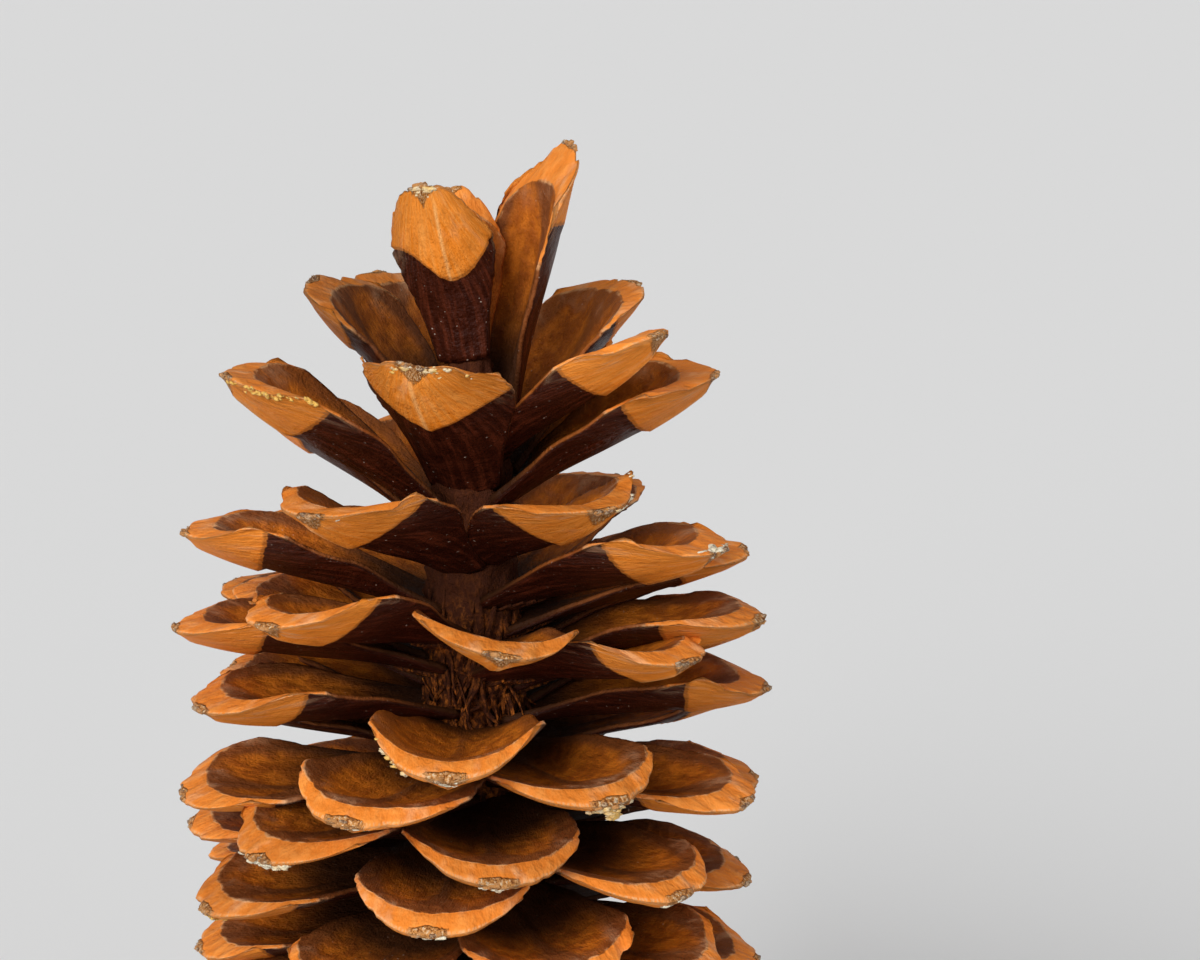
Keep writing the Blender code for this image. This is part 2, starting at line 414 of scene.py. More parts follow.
# %% [markdown]
# The formula becomes a closed mesh: at each row a ring runs over the inner face,
# round the margin and back over the outer one. The grid is the same for every
# scale, so the faces are listed once. Four vectors go with each point for the
# finish: its place on the blade, which face it is on, how far it is from the lip
# and from the thick end, and where the grain is. On the outer face the grain fans
# out from the umbo.

# %% Mesh of the scales
ROWS = 37
COLUMNS = 33
RING = 2 * COLUMNS + 2
EDGE_ROUND = 0.38
FAN_WIDTH = 18.0
FAN_REACH = 20.0
FAN_START = 6.0


def blade_faces():
    """Return the quads and triangles of one blade and, for each, 1 on the inner side."""
    faces, inner = [], []

    def add(corners, on_inner):
        faces.append(corners)
        inner.append(on_inner)

    for row in range(ROWS - 1):
        for i in range(RING):
            j = (i + 1) % RING
            here, there = row * RING, (row + 1) * RING
            add((here + i, here + j, there + j, there + i), i < COLUMNS or i == RING - 1)
    last = (ROWS - 1) * RING
    cap = ROWS * RING

    def under(i):
        return 2 * COLUMNS - i

    def tip(i):
        if i == 0:
            return last + RING - 1
        if i == COLUMNS - 1:
            return last + COLUMNS
        return cap + i - 1

    for i in range(COLUMNS - 1):
        add((last + i, last + i + 1, tip(i + 1), tip(i)), True)
        add((last + under(i + 1), last + under(i), tip(i), tip(i + 1)), False)
        add((i + 1, i, under(i), under(i + 1)), False)
    add((0, RING - 1, under(0)), False)
    add((COLUMNS, COLUMNS - 1, under(COLUMNS - 1)), False)
    return faces, np.array(inner)


BLADE_FACES, BLADE_INNER = blade_faces()


def blade_points(scale):
    """Return the points of one blade in metres at its place, with the four vectors of its finish."""
    habit = HABITS[scale.number]
    even = np.linspace(0, 1, ROWS)
    s = (1 - (1 - even) ** 1.25)[:, None]
    across = np.linspace(1, -1, COLUMNS)
    t = (0.55 * across + 0.45 * np.sin(across * math.pi / 2))[None, :]
    inner, outer, from_edge = blade(scale, habit, s, t)
    between = (inner + outer) / 2
    thin = np.linalg.norm(inner - outer, axis=-1)
    right = between[:, -1] + np.stack((0 * thin[:, -1], -EDGE_ROUND * thin[:, -1], 0 * thin[:, -1]), -1)
    left = between[:, 0] + np.stack((0 * thin[:, 0], EDGE_ROUND * thin[:, 0], 0 * thin[:, 0]), -1)
    rings = np.concatenate((inner, right[:, None], outer[:, ::-1], left[:, None]), 1)
    cap = between[-1, 1:-1] + np.stack((EDGE_ROUND * thin[-1, 1:-1], 0 * thin[-1, 1:-1], 0 * thin[-1, 1:-1]), -1)
    points = np.concatenate((rings.reshape(-1, 3), cap))

    s_grid, t_grid = np.broadcast_arrays(s, t)
    ones = np.ones(ROWS)

    def ring_of(top, right_edge, bottom, left_edge, at_cap):
        rows = np.concatenate((top, right_edge[:, None], bottom[:, ::-1], left_edge[:, None]), 1)
        return np.concatenate((rows.ravel(), at_cap))

    column_s = s[:, 0]
    place = np.stack((
        ring_of(s_grid, column_s, s_grid, column_s, np.ones(COLUMNS - 2)),
        ring_of(t_grid, -ones, t_grid, ones, t_grid[-1, 1:-1]),
        ring_of(from_edge, from_edge[:, -1], from_edge, from_edge[:, 0], np.zeros(COLUMNS - 2)),
    ), -1)
    on_inner = ring_of(np.ones_like(s_grid), 0.5 * ones, np.zeros_like(s_grid), 0.5 * ones, 0.5 * np.ones(COLUMNS - 2))
    off_keel = place[:, 1] - habit.keel * (1 - place[:, 1] ** 2)
    # The tone in kind carries painted shade on the shaded scales
    kind = np.stack((on_inner, np.full_like(on_inner, habit.tone), off_keel), -1)
    off_ridge = beyond_lip(habit, place[:, 0], place[:, 1], place[:, 2])
    off_end = place[:, 2] - end_border(habit, place[:, 1])
    # This paleness carries painted shade towards the root into the finish
    pale_and_shade = np.full_like(on_inner, how_pale_and_shaded(scale.number))
    zones = np.stack((off_ridge, off_end, pale_and_shade), -1)
    fan = np.where(on_inner < 0.5, FAN_WIDTH / (np.minimum(place[:, 2], FAN_REACH) + FAN_START), 1.0)
    grain = np.stack((points[:, 0], points[:, 1] * fan, np.full_like(fan, scale.number * 19.0)), -1)

    matrix = np.array(scale_matrix(scale))
    world = (points * MM) @ matrix[:3, :3].T + matrix[:3, 3]
    world[:, 2] = np.maximum(world[:, 2], 0.0)
    return world, place, kind, zones, grain


def bake_corners(index, count, place):
    """Return where the corners of one blade go on the flat map: a cell for each of its two faces."""
    across_cells = math.ceil(math.sqrt(2 * count * 1.4))
    up_cells = math.ceil(2 * count / across_cells)
    wide = along_blade(1, ROOT_SHARE + (CORNER_SHARE - ROOT_SHARE) * place[:, 0])
    cells = []
    for face in (0, 1):
        cell = 2 * index + face
        column, row = cell % across_cells, cell // across_cells
        u = (column + 0.5 + 0.44 * place[:, 1] * wide) / across_cells
        v = (row + 0.06 + 0.86 * place[:, 0]) / up_cells
        cells.append(np.stack((u, v), -1))
    return cells


def new_object(name, points, faces):
    """Return a smooth-shaded object with a mesh of points and faces."""
    mesh = bpy.data.meshes.new(name)
    mesh.from_pydata(points, [], faces)
    mesh.shade_smooth()
    obj = bpy.data.objects.new(name, mesh)
    bpy.context.scene.collection.objects.link(obj)
    return obj


def scale_piece(name, scales):
    """Make one piece of several neighbouring scales."""
    gathered = [blade_points(scale) for scale in scales]
    size = len(gathered[0][0])
    faces = [tuple(corner + size * k for corner in face) for k in range(len(scales)) for face in BLADE_FACES]
    piece = new_object(name, np.concatenate([blade_set[0] for blade_set in gathered]), faces)
    mesh = piece.data
    for column, attribute in enumerate(("place", "kind", "zones", "grain"), 1):
        values = np.concatenate([blade_set[column] for blade_set in gathered])
        layer = mesh.attributes.new(attribute, "FLOAT_VECTOR", "POINT")
        layer.data.foreach_set("vector", values.astype(np.float32).ravel())
    corners = []
    for k, blade_set in enumerate(gathered):
        place = blade_set[1].copy()
        cap = slice(ROWS * RING, None)
        place[cap, 0] = 1.02
        edge = np.arange(ROWS) * RING
        place[edge + COLUMNS, 1] = -1.05
        place[edge + RING - 1, 1] = 1.05
        cells = bake_corners(k, len(scales), place)
        for face, on_inner in zip(BLADE_FACES, BLADE_INNER):
            corners.append(cells[0 if on_inner else 1][list(face)])
    layer = mesh.uv_layers.new(name="OFBake")
    layer.uv.foreach_set("vector", np.concatenate(corners).astype(np.float32).ravel())
    return piece


PIECE_SCALES = 9
scale_pieces = []
for start in range(0, len(GROWN), PIECE_SCALES):
    name = f"scales_{start // PIECE_SCALES + 1:02d}"
    scale_pieces.append(scale_piece(name, GROWN[start:start + PIECE_SCALES]))
print("scale pieces:", len(scale_pieces), "faces each:", len(scale_pieces[0].data.polygons))

# %% [markdown]
# A finish is a graph of nodes, and a graph is hard to read in a script. So one
# small class wraps a socket and lets an expression such as 1 - mask add its Math
# node, and one method makes every other node.

# %% Expressions for materials


class Flow:
    """A number, vector or colour that flows out of a node. Arithmetic on it adds Math nodes."""

    def __init__(self, finish, socket):
        self.finish = finish
        self.socket = socket

    def math(self, operation, first, second):
        return self.finish.node("ShaderNodeMath", {"operation": operation}, {0: first, 1: second})

    def __add__(self, other):
        return self.math("ADD", self, other)

    __radd__ = __add__

    def __sub__(self, other):
        return self.math("SUBTRACT", self, other)

    def __rsub__(self, other):
        return self.math("SUBTRACT", other, self)

    def __mul__(self, other):
        return self.math("MULTIPLY", self, other)

    __rmul__ = __mul__

    def __truediv__(self, other):
        return self.math("DIVIDE", self, other)

    def __pow__(self, other):
        return self.math("POWER", self, other)

    def __abs__(self):
        return self.math("ABSOLUTE", self, 0.0)

    def most(self, other):
        return self.math("MAXIMUM", self, other)

    def least(self, other):
        return self.math("MINIMUM", self, other)


class Finish:
    """A material on a Principled shader, built from expressions."""

    def __init__(self, name, **uniform):
        self.material = bpy.data.materials.new(name)
        self.material.use_nodes = True
        self.tree = self.material.node_tree
        self.shader = self.tree.nodes["Principled BSDF"]
        for socket, value in uniform.items():
            self.shader.inputs[socket.replace("_", " ").title().replace("Ior", "IOR")].default_value = value

    def node(self, kind, settings=None, sockets=None, output=0):
        """Add a node: settings first, then the values or links of its sockets."""
        node = self.tree.nodes.new(kind)
        for key, value in (settings or {}).items():
            setattr(node, key, value)
        for key, value in (sockets or {}).items():
            self.feed(node.inputs[key], value)
        return Flow(self, node.outputs[output])

    def feed(self, socket, value):
        """Link a flow to a socket, or set its value."""
        if isinstance(value, Flow):
            self.tree.links.new(value.socket, socket)
        else:
            socket.default_value = value

    def attribute(self, name):
        """Return the three numbers of a vector attribute, and the vector itself."""
        vector = self.node("ShaderNodeAttribute", {"attribute_name": name}, output=1)
        parts = [self.node("ShaderNodeSeparateXYZ", None, {0: vector}, output=i) for i in range(3)]
        return (*parts, vector)

    def stretch(self, vector, factors):
        """Return a vector with each axis multiplied."""
        return self.node("ShaderNodeVectorMath", {"operation": "MULTIPLY"}, {0: vector, 1: factors})

    def noise(self, vector, scale, detail=3.0, rough=0.55):
        """Return smooth noise about 0.5."""
        return self.node("ShaderNodeTexNoise", None, {"Vector": vector, "Scale": scale, "Detail": detail, "Roughness": rough})

    def step(self, value, start, end):
        """Return 0 before start and 1 after end, smooth between. Start may be the larger."""
        turned = start > end if not isinstance(start, Flow) else False
        sockets = {"Value": value, "From Min": end if turned else start, "From Max": start if turned else end}
        flow = self.node("ShaderNodeMapRange", {"interpolation_type": "SMOOTHSTEP"}, sockets)
        return 1.0 - flow if turned else flow

    def mix(self, share, first, second, blend="MIX"):
        """Return first where share is 0 and second where it is 1, as colours."""
        settings = {"data_type": "RGBA", "blend_type": blend}
        return self.node("ShaderNodeMix", settings, {0: share, 6: first, 7: second}, output=2)

    def bump(self, height, distance, strength=1.0):
        """Return a normal that follows a height in metres times distance."""
        return self.node("ShaderNodeBump", None, {"Height": height, "Distance": distance, "Strength": strength})


print("expressions ready")

# %% [markdown]
# The wood of a scale has clear zones. Inside: a pale lip, a painted highlight
# along the ridge, two orange-brown prints with a darker band round them, and
# painted shade towards the root. Outside: a bright tan end with fine stripes and,
# past a crisp border, the covered part, nearly black maroon and a little glossy,
# with specks of dried resin. A painted highlight runs along the margins near the
# edge, and a few scales are painted darker all over as shade. All of them are
# drawn from the place on the blade, so that each border keeps its shape on every
# scale.

# %% Finish of the scales
LIP_ORANGE = (0.70, 0.20, 0.024, 1.0)
LIP_PALE = (0.78, 0.29, 0.06, 1.0)
# A painted highlight along the ridge line
RIDGE_HIGHLIGHT = (0.78, 0.4, 0.17, 1.0)
PRINT_ORANGE = (0.60, 0.165, 0.013, 1.0)
PRINT_DARK = (0.36, 0.088, 0.008, 1.0)
BAND_BROWN = (0.185, 0.052, 0.012, 1.0)
BAND_RED = (0.24, 0.072, 0.018, 1.0)
# Darkest brown of the inner face, mostly painted shade towards the root under the scale above
ROOT_BROWN_AND_SHADE = (0.045, 0.014, 0.004, 1.0)
END_ORANGE = (0.86, 0.235, 0.014, 1.0)
END_PALE = (0.93, 0.36, 0.07, 1.0)
END_BROWN = (0.46, 0.13, 0.014, 1.0)
COVERED_MAROON = (0.036, 0.0068, 0.0028, 1.0)
COVERED_RED = (0.12, 0.025, 0.010, 1.0)
BORDER_DARK = (0.16, 0.045, 0.012, 1.0)
RESIN_DUST = (0.60, 0.50, 0.42, 1.0)
# A painted highlight along the margins near the edge
EDGE_HIGHLIGHT = (0.64, 0.36, 0.17, 1.0)
BLOOM = (0.58, 0.36, 0.21, 1.0)
UMBO_DARK = (0.18, 0.058, 0.016, 1.0)
UMBO_TAN = (0.64, 0.28, 0.075, 1.0)
UMBO_PALE = (0.86, 0.66, 0.42, 1.0)
KEEL_PALE = (0.98, 0.50, 0.17, 1.0)


def scale_wood():
    """Return the finish of the scales."""
    wood = Finish("scale_wood", ior=1.45, specular_ior_level=0.12)
    s, t, from_edge, _ = wood.attribute("place")
    face, tone, off_keel, _ = wood.attribute("kind")
    off_ridge, off_end, pale_and_shade, _ = wood.attribute("zones")
    _, _, _, grain = wood.attribute("grain")
    side = abs(t)
    patch = wood.noise(wood.stretch(grain, (0.11, 0.16, 1.0)), 1.0, 2.0)
    cloud = wood.noise(wood.stretch(grain, (0.30, 0.42, 1.3)), 1.0, 3.0)
    stripe = wood.noise(wood.stretch(grain, (0.09, 1.1, 1.0)), 1.0, 4.0, 0.65)
    hair = wood.noise(wood.stretch(grain, (0.35, 5.0, 1.0)), 1.0, 3.0, 0.7)
    speckle = wood.noise(wood.stretch(grain, (1.6, 2.4, 1.0)), 1.0, 3.0, 0.6)
    wander = (wood.noise(wood.stretch(grain, (0.45, 0.45, 1.7)), 1.0, 3.0) - 0.5) * 2.0
    cells = {0: grain, 2: 1.0}
    spot = wood.node("ShaderNodeTexVoronoi", None, cells)
    chance = wood.node("ShaderNodeSeparateXYZ", None, {0: wood.node("ShaderNodeTexVoronoi", None, cells, output=1)})
    spots = wood.step(spot - (chance - 0.25) * 0.20, 0.03, -0.02)

    # Inner face
    edge_of_lip = off_ridge - wander * 0.7
    lip = 1.0 - wood.step(edge_of_lip, -0.25, 0.25)
    # Painted highlight: a thin broken line along the ridge
    ridge_highlight = (1.0 - wood.step(abs(edge_of_lip - 0.15), 0.05, 0.45)) * wood.step(cloud, 0.40, 0.62)
    form = ((s - 0.48) / 0.40) ** 2.0 + ((side - 0.44) / 0.42) ** 2.0 + wander * 0.3
    in_print = 1.0 - wood.step(form, 0.60, 1.25)
    rib = 1.0 - wood.step(side, 0.02, 0.11)
    deep = wood.mix(wood.step(cloud, 0.40, 0.65), BAND_BROWN, BAND_RED)
    print_colour = wood.mix(wood.step(cloud, 0.35, 0.65), PRINT_ORANGE, PRINT_DARK)
    # Paler scales get a band nearer the prints' colour: partly the wood's own colour, partly painted light on scales
    # that lie open
    deep = wood.mix(pale_and_shade.most(0.0) * 0.7, deep, print_colour)
    inside = wood.mix(in_print * (1.0 - rib * 0.7), deep, print_colour)
    # Painted shade: darker towards the root, reaching further out on scales that are less pale
    inside = wood.mix(wood.step(s + pale_and_shade * 0.26, 0.58, 0.18), inside, ROOT_BROWN_AND_SHADE)
    lip_colour = wood.mix(wood.step(stripe, 0.35, 0.8) * 0.2 + wood.step(cloud, 0.4, 0.7) * 0.6, LIP_ORANGE, LIP_PALE)
    lip_colour = wood.mix(wood.step(patch, 0.48, 0.68) * wood.step(cloud, 0.60, 0.40) * 0.5, lip_colour, END_BROWN)
    inside = wood.mix(lip, inside, lip_colour)
    inside = wood.mix(ridge_highlight * 0.6, inside, RIDGE_HIGHLIGHT)

    # Outer face
    border_at = off_end - wander * 0.6
    on_end = 1.0 - wood.step(border_at, -0.14, 0.14)
    end_colour = wood.mix(wood.step(stripe, 0.30, 0.80), END_ORANGE, END_PALE)
    end_colour = wood.mix(wood.step(cloud, 0.50, 0.75) * 0.3, end_colour, END_BROWN)
    keel = (1.0 - wood.step(abs(off_keel), 0.0, 0.06)) * wood.step(from_edge, 1.0, 4.0)
    end_colour = wood.mix(keel * 0.7, end_colour, KEEL_PALE)
    covered = wood.mix(wood.step(stripe, 0.42, 0.74), COVERED_MAROON, COVERED_RED)
    dust = spots * wood.step(patch, 0.30, 0.50)
    covered = wood.mix(dust * 0.75, covered, RESIN_DUST)
    outside = wood.mix(on_end, covered, end_colour)
    border = 1.0 - wood.step(abs(border_at + 0.3), 0.1, 0.6)
    outside = wood.mix(border * 0.5, outside, BORDER_DARK)

    on_inner = wood.step(face, 0.3, 0.7)
    inside = wood.mix(spots * wood.step(patch, 0.50, 0.62) * 0.35, inside, RESIN_DUST)
    colour = wood.mix(on_inner, outside, inside)
    # Painted highlight along the margins near the edge, broken by noise
    rim_highlight = (1.0 - wood.step(abs(face - 0.5), 0.20, 0.45)) * wood.step(from_edge, 9.0, 3.0)
    colour = wood.mix(rim_highlight * wood.step(speckle, 0.40, 0.60) * 0.7, colour, EDGE_HIGHLIGHT)
    nick = wood.step(speckle, 0.36, 0.30) * wood.step(from_edge, 16.0, 8.0)
    colour = wood.mix(nick * 0.5, colour, END_BROWN)
    bloom = wood.step(patch, 0.50, 0.66) * wood.step(from_edge, 13.0, 2.0) * wood.step(cloud, 0.3, 0.6)
    colour = wood.mix(bloom * 0.4, colour, BLOOM)
    umbo_reach = UMBO_BELOW + on_inner * (UMBO_ABOVE - UMBO_BELOW)
    umbo_form = side / UMBO_HALF_WIDTH + from_edge / umbo_reach
    umbo = wood.step(umbo_form + wander * 0.35 + (speckle - 0.5) * 0.5, 1.15, 0.85)
    crust = wood.noise(wood.stretch(grain, (1.5, 1.5, 1.0)), 1.0, 4.0, 0.7)
    umbo_colour = wood.mix(wood.step(crust, 0.40, 0.50), UMBO_DARK, UMBO_TAN)
    umbo_colour = wood.mix(wood.step(crust, 0.52, 0.60), umbo_colour, UMBO_PALE)
    colour = wood.mix(umbo * 0.9, colour, umbo_colour)
    # Random tone, and on the shaded scales painted shade, darken the colour
    shade = 0.84 + tone * 0.28 + (patch - 0.5) * 0.5 + (hair - 0.5) * 0.12
    grey = wood.node("ShaderNodeCombineXYZ", None, {0: shade, 1: shade, 2: shade})
    colour = wood.mix(1.0, colour, grey, "MULTIPLY")
    wood.feed(wood.shader.inputs["Base Color"], colour)

    bare = on_inner.most(on_end)
    rough = 0.34 + bare * 0.20 + (speckle - 0.5) * 0.3 + dust * 0.2
    wood.feed(wood.shader.inputs["Roughness"], rough)
    smooth = 1.0 - lip * on_inner * 0.7
    height = (stripe * 0.35 + hair * 0.2 + speckle * 0.35) * smooth + cloud * 1.1 + umbo * crust * 1.5
    wood.feed(wood.shader.inputs["Normal"], wood.bump(height, 0.0009, 1.0))
    return wood.material


wood_finish = scale_wood()
for piece in scale_pieces:
    piece.data.materials.append(wood_finish)
print("nodes in the wood:", len(wood_finish.node_tree.nodes))

# %% [markdown]
# The core is a woody axis, rough where the scales left it. A turned tube with
# noise does, because it only shows in the gaps. What does show there are the
# bracts, the torn rusty tongue under each scale, and loose fibres round them.

# %% Core and bracts
CORE_PROFILE = ((0.0, 213), (3.5, 211), (6.5, 202), (8.0, 180), (9.0, 155), (9.5, 60), (10.0, 22), (7.0, 12), (6.5, 0))
CORE_SIDES = 56
CORE_ROWS = 150


def core_piece():
    """Make the core and the stub of the stalk as one lumpy tube, closed at both ends."""
    radii, heights = np.array(CORE_PROFILE, float).T
    level = np.linspace(0.0, 1.0, CORE_ROWS)
    height = np.interp(level, (0, 0.12, 1), (0, 6, 212.6))
    radius = np.interp(height, heights[::-1], radii[::-1])
    turn = np.linspace(0, 2 * math.pi, CORE_SIDES, endpoint=False)
    lumps = 0.7 * np.sin(5 * turn[None, :] + 0.31 * height[:, None]) * np.cos(0.83 * height[:, None] - 3 * turn)
    lumps = lumps + 0.4 * np.sin(11 * turn[None, :] - 0.9 * height[:, None]) * np.cos(1.9 * height[:, None] + 4 * turn)
    wide = radius[:, None] + lumps * ramp(2.0, 12.0, height)[:, None] * ramp(0.0, 5.0, radius)[:, None]
    up = np.broadcast_to(height[:, None], wide.shape)
    points = np.stack((wide * np.cos(turn), wide * np.sin(turn), up), -1).reshape(-1, 3)
    faces = []
    for row in range(CORE_ROWS - 1):
        for i in range(CORE_SIDES):
            j = (i + 1) % CORE_SIDES
            here, there = row * CORE_SIDES, (row + 1) * CORE_SIDES
            faces.append((here + i, here + j, there + j, there + i))
    faces.append(tuple(range(CORE_SIDES))[::-1])
    faces.append(tuple((CORE_ROWS - 1) * CORE_SIDES + i for i in range(CORE_SIDES)))
    return new_object("core", points * MM, faces)


def strip(points, faces, path, widths, normal, thick):
    """Add a thin tapering strip with a square section along a path."""
    first = len(points)
    for i, (place, width) in enumerate(zip(path, widths)):
        ahead = path[min(i + 1, len(path) - 1)] - path[max(i - 1, 0)]
        across = ahead.cross(normal).normalized()
        up = across.cross(ahead).normalized()
        for y, z in ((1, 1), (-1, 1), (-1, -1), (1, -1)):
            points.append(place + across * (y * width / 2) + up * (z * thick / 2))
    for i in range(len(path) - 1):
        for j in range(4):
            k = (j + 1) % 4
            here, there = first + 4 * i, first + 4 * (i + 1)
            faces.append((here + j, there + j, there + k, here + k))
    end = first + 4 * (len(path) - 1)
    faces.append((first, first + 1, first + 2, first + 3))
    faces.append((end + 3, end + 2, end + 1, end))


BRACT_REACH = 16.0
BRACT_STRANDS = 12
BRACT_GAP = 0.25
FIRST_BRACT = 15
STUB_FIBRES = 30
SHEETS = 700
SHEETS_TOP = 165.0


def bract_piece():
    """Make the torn bract under each scale, the fibres of broken scales and the sheets of fibre on the core."""
    draw = random.Random(88)
    points, faces = [], []
    for scale in SPIRAL[FIRST_BRACT:]:
        matrix = scale_matrix(scale._replace(roll=0.0))
        if scale.number in BROKEN_AWAY:
            for _ in range(STUB_FIBRES):
                lean = draw.gauss(0.0, 0.5) + draw.choice((0.0, 0.0, math.pi))
                across, up = math.sin(lean), math.cos(lean)
                long = draw.uniform(3.0, 9.0)
                start = (draw.uniform(7.8, 9.4), draw.uniform(-4.5, 4.5), draw.uniform(-4.0, 2.5))
                out = draw.uniform(-0.1, 0.3)
                path = []
                for f in (0.0, 0.3, 0.6, 0.85, 1.0):
                    x = start[0] + out * long * f
                    y = start[1] + across * long * f + draw.uniform(-0.25, 0.25)
                    z = start[2] + up * long * f
                    path.append(matrix @ Vector((x * MM, y * MM, z * MM)))
                wide = draw.uniform(0.3, 1.1) * MM
                normal = (matrix.to_3x3() @ Vector((1, draw.uniform(-0.6, 0.6), 0))).normalized()
                strip(points, faces, path, [wide * k for k in (1.0, 1.1, 0.9, 0.6, 0.2)], normal, 0.5 * MM)
            continue
        matrix = scale_matrix(scale)
        habit = HABITS[scale.number]
        for k in range(BRACT_STRANDS):
            spread = k / (BRACT_STRANDS - 1) * 2 - 1
            reach = BRACT_REACH * (1 - 0.25 * spread * spread) * draw.uniform(0.82, 1.0)
            wide = draw.uniform(0.9, 1.6)
            path = []
            for f in (0.45, 0.6, 0.75, 0.9, 1.0):
                share = reach * f / scale.length
                half = float(along_blade(1, share)) * scale.width / 2
                place = 3.6 * spread * (0.8 + 0.3 * f) + draw.uniform(-0.2, 0.2)
                s = max(0.0, (share - ROOT_SHARE) / (1 - ROOT_SHARE))
                under = blade(scale, habit, s, max(-0.8, min(0.8, place / half)))[1]
                path.append(matrix @ Vector([float(part) * MM for part in under - (0, 0, BRACT_GAP)]))
            widths = [wide * MM * share for share in (1.0, 1.0, 0.9, 0.65, 0.15)]
            normal = (matrix.to_3x3() @ Vector((0, draw.uniform(-0.5, 0.5), 1))).normalized()
            strip(points, faces, path, widths, normal, draw.uniform(0.35, 0.7) * MM)
    radii, heights = np.array(CORE_PROFILE, float).T
    for _ in range(SHEETS):
        height = draw.uniform(14.0, SHEETS_TOP)
        turn = draw.uniform(0, 2 * math.pi)
        long = draw.uniform(5.0, 14.0)
        lean = draw.gauss(0.0, 0.12)
        bulge = draw.uniform(0.1, 1.2)
        loose = draw.choice((0.0, 0.0, 1.0)) * draw.uniform(0.3, 1.8)
        path = []
        for f in (0.0, 0.25, 0.5, 0.75, 1.0):
            up = height + long * (f - 0.5)
            out = np.interp(up, heights[::-1], radii[::-1]) - 0.5 + bulge * math.sin(math.pi * f) + loose * f * f
            angle = turn + lean * long / 6 * (f - 0.5)
            path.append(Vector((out * math.cos(angle), out * math.sin(angle), up)) * MM)
        wide = draw.uniform(0.4, 1.9) * MM
        widths = [wide * share for share in (0.4, 1.0, 1.0, 0.8, 0.2)]
        normal = Vector((math.cos(turn), math.sin(turn), 0.0))
        strip(points, faces, path, widths, normal, draw.uniform(0.4, 0.8) * MM)
    return new_object("bracts", [tuple(point) for point in points], faces)


core = core_piece()
bracts = bract_piece()
print("core faces:", len(core.data.polygons), "bract faces:", len(bracts.data.polygons))

# %% [markdown]
# Core and bracts share one dull rusty finish. Their grain follows the cone's axis,
# so the noise is stretched along height.

# %% Finish of the core
RUST = (0.44, 0.12, 0.016, 1.0)
RUST_DARK = (0.045, 0.011, 0.004, 1.0)
RUST_LIGHT = (0.64, 0.22, 0.04, 1.0)
YOUNG_CORE = (0.055, 0.014, 0.005, 1.0)


def rusty_fibre():
    """Return the finish of the core and the bracts."""
    rust = Finish("core_fibre", ior=1.4, specular_ior_level=0.15)
    place = rust.node("ShaderNodeTexCoord", output=3)
    fibre = rust.noise(rust.stretch(place, (900.0, 900.0, 500.0)), 1.0, 4.0, 0.7)
    patch = rust.noise(rust.stretch(place, (150.0, 150.0, 110.0)), 1.0, 2.0)
    colour = rust.mix(rust.step(fibre, 0.43, 0.70), RUST_DARK, RUST)
    colour = rust.mix(rust.step(patch, 0.52, 0.75) * rust.step(fibre, 0.5, 0.7), colour, RUST_LIGHT)
    height = rust.node("ShaderNodeSeparateXYZ", None, {0: place}, output=2)
    colour = rust.mix(rust.step(patch, 0.50, 0.38) * 0.6, colour, RUST_DARK)
    colour = rust.mix(rust.step(height, 0.156, 0.168) * 0.9, colour, YOUNG_CORE)
    rust.feed(rust.shader.inputs["Base Color"], colour)
    rust.feed(rust.shader.inputs["Roughness"], 0.7 + (fibre - 0.5) * 0.3)
    rust.feed(rust.shader.inputs["Normal"], rust.bump(fibre, 0.0012))
    return rust.material


core_finish = rusty_fibre()
core.data.materials.append(core_finish)
bracts.data.materials.append(core_finish)

# %% [markdown]
# The umbo is a small corky knob at the middle of each edge. On many scales resin
# ran out there and dried in beads and crusts, from clear yellow to chalky white.
# Both are lumps: a ball whose points are pushed in and out by a few sine waves,
# which costs few faces and never repeats.

# %% Umbos and resin
LUMP_WAVES = 5


def ball(subdivisions):
    """Return the points and faces of a unit ball with even faces."""
    import bmesh
    mesh = bmesh.new()
    bmesh.ops.create_icosphere(mesh, subdivisions=subdivisions, radius=1.0)
    points = np.array([vertex.co[:] for vertex in mesh.verts])
    faces = [tuple(vertex.index for vertex in face.verts) for face in mesh.faces]
    mesh.free()
    return points, faces


BALL_POINTS, BALL_FACES = ball(2)


def lump(draw, radii, roughness):
    """Return a lumpy ball in millimetres."""
    swell = np.zeros(len(BALL_POINTS))
    for _ in range(LUMP_WAVES):
        wave = draw.normal(size=3)
        swell += np.sin(BALL_POINTS @ wave * draw.uniform(2.0, 5.5) + draw.uniform(0, 6.3))
    return BALL_POINTS * (1 + roughness * swell / LUMP_WAVES)[:, None] * np.asarray(radii)


def lumps_object(name, parts):
    """Join lumps, each with its points in metres and a tint from 0 to 1."""
    points, faces, tints = [], [], []
    for part, tint in parts:
        first = len(tints)
        points.append(part)
        faces += [tuple(corner + first for corner in face) for face in BALL_FACES]
        tints += [tint] * len(part)
    points = np.concatenate(points)
    points[:, 2] = np.maximum(points[:, 2], 0.0)
    obj = new_object(name, points, faces)
    obj.data.attributes.new("tint", "FLOAT", "POINT").data.foreach_set("value", tints)
    return obj


def on_edge(scale, t, s=1.0, share=0.5):
    """Return a point at the scale's edge in millimetres of its own frame, between inner face 0 and outer face 1."""
    inner, outer, _ = blade(scale, HABITS[scale.number], s, t)
    return inner * (1 - share) + outer * share


def to_world(scale, points):
    """Take points in millimetres of a scale's frame to their place in metres."""
    matrix = np.array(scale_matrix(scale))
    return (points * MM) @ matrix[:3, :3].T + matrix[:3, 3]


UMBO_CRUMBS = 10


